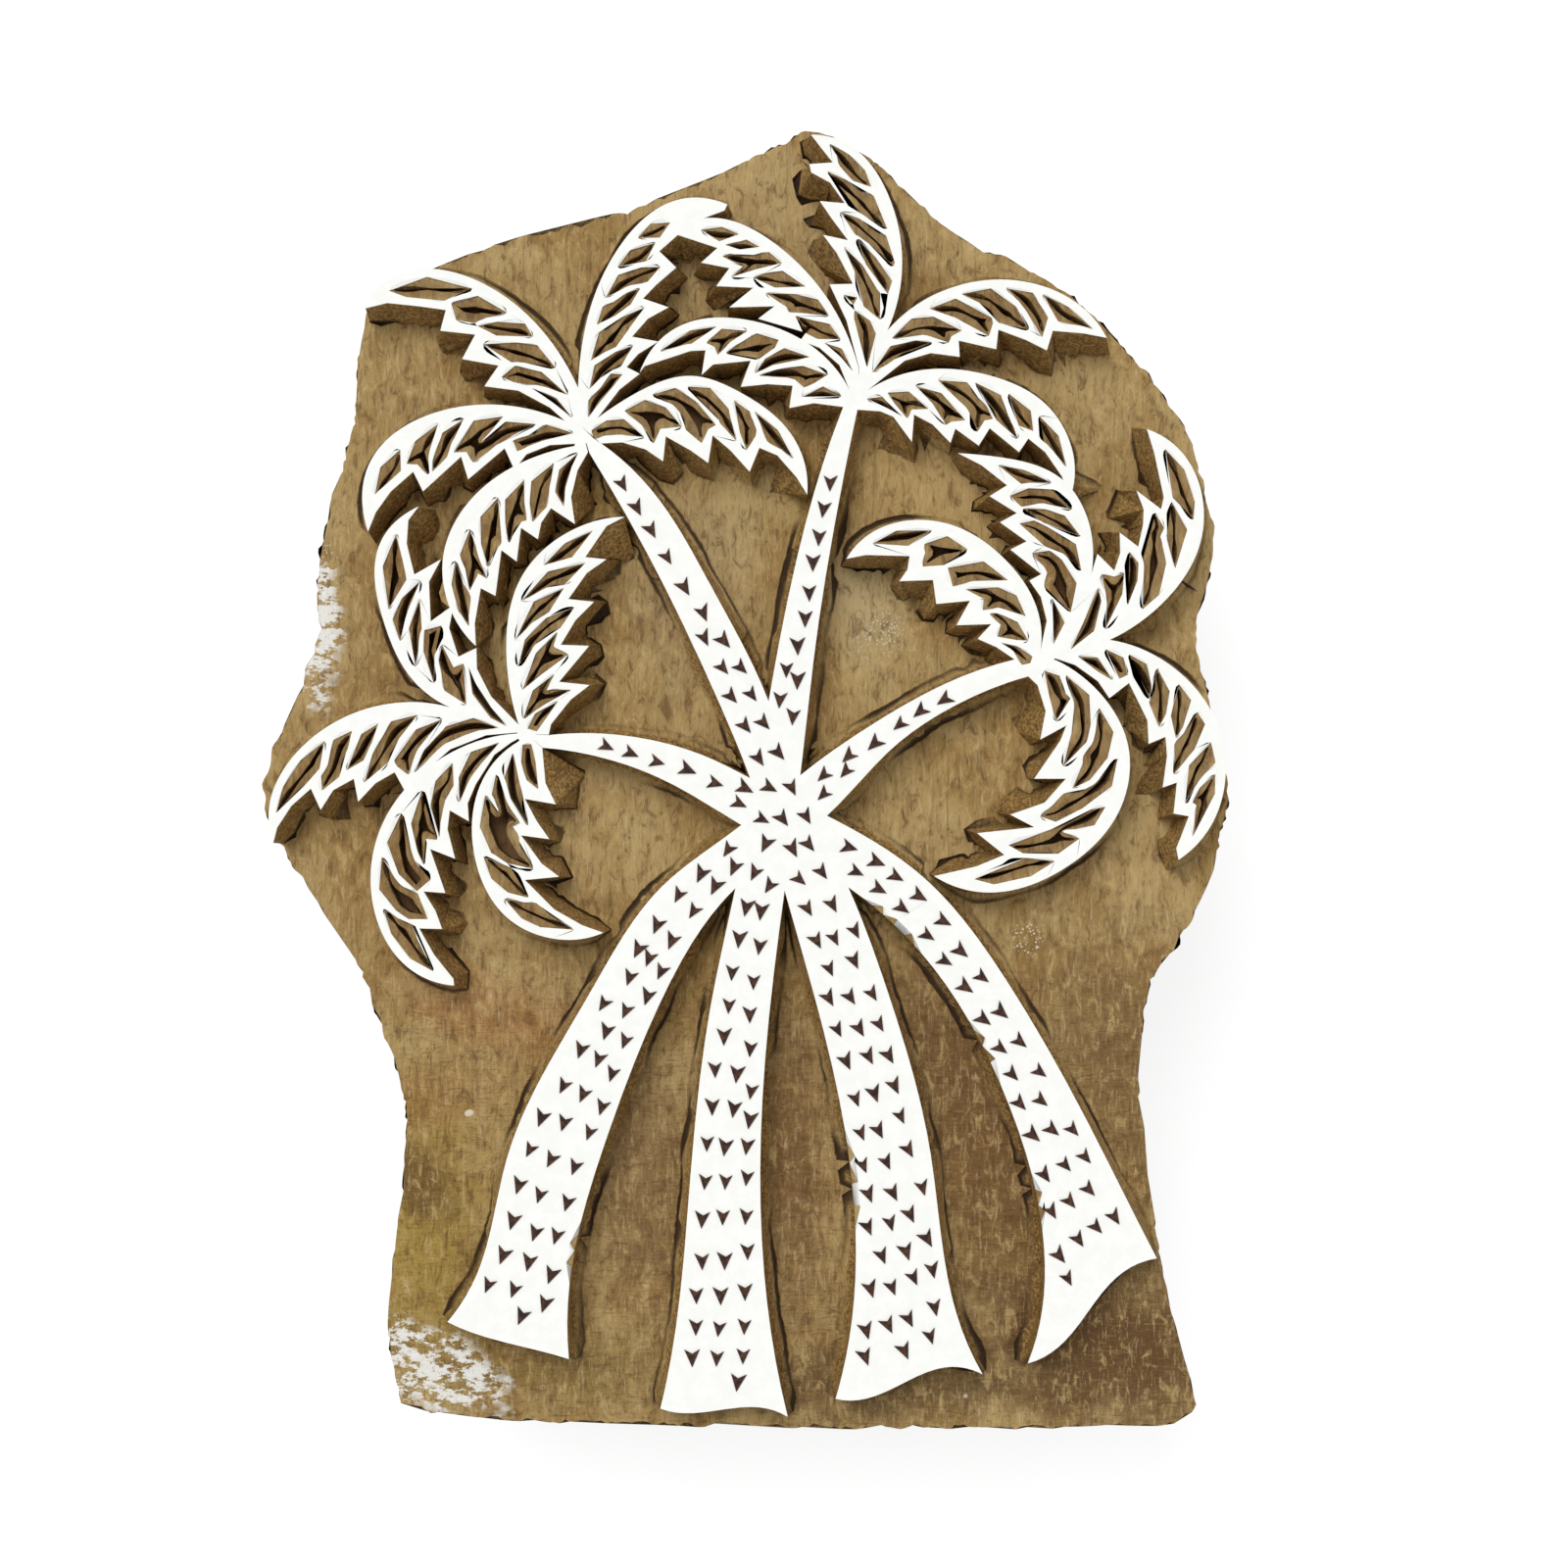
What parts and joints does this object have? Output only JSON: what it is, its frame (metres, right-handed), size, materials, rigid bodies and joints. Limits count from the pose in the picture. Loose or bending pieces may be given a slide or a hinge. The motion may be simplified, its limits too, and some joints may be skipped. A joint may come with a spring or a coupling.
{
  "type": "wooden textile printing block",
  "caption": "Hand-carved wooden block for printing cloth: palm trees with crossing trunks and saw-toothed leaves in white-faced relief on an irregular slab, with a bar handle on the back.",
  "frame": {"origin": "centre of the handle's flat outer face, on which the block lies with its print face up", "axes": "+Z out of the print face, +Y towards the pointed top of the design along the block's length, +X to the design's right"},
  "size_m": [0.1809, 0.2438, 0.06],
  "materials": {
    "block_wood": "hand-carved hardwood with sawn edges, rubbed and stained by use",
    "white_coat": "thin chalk white coat on the printing faces, matt",
    "handle_wood": "planed hardwood, worn smooth by the hand",
    "screw_steel": "plain steel, dulled"
  },
  "bodies": {
    "root": {"block_body": "block_wood", "printing_face_trunks": "white_coat", "printing_face_crown_upper_left": "white_coat", "printing_face_crown_upper_right": "white_coat", "printing_face_crown_left": "white_coat", "printing_face_crown_right": "white_coat", "handle": "handle_wood", "handle_screws": "screw_steel"}
  },
  "joints": []
}
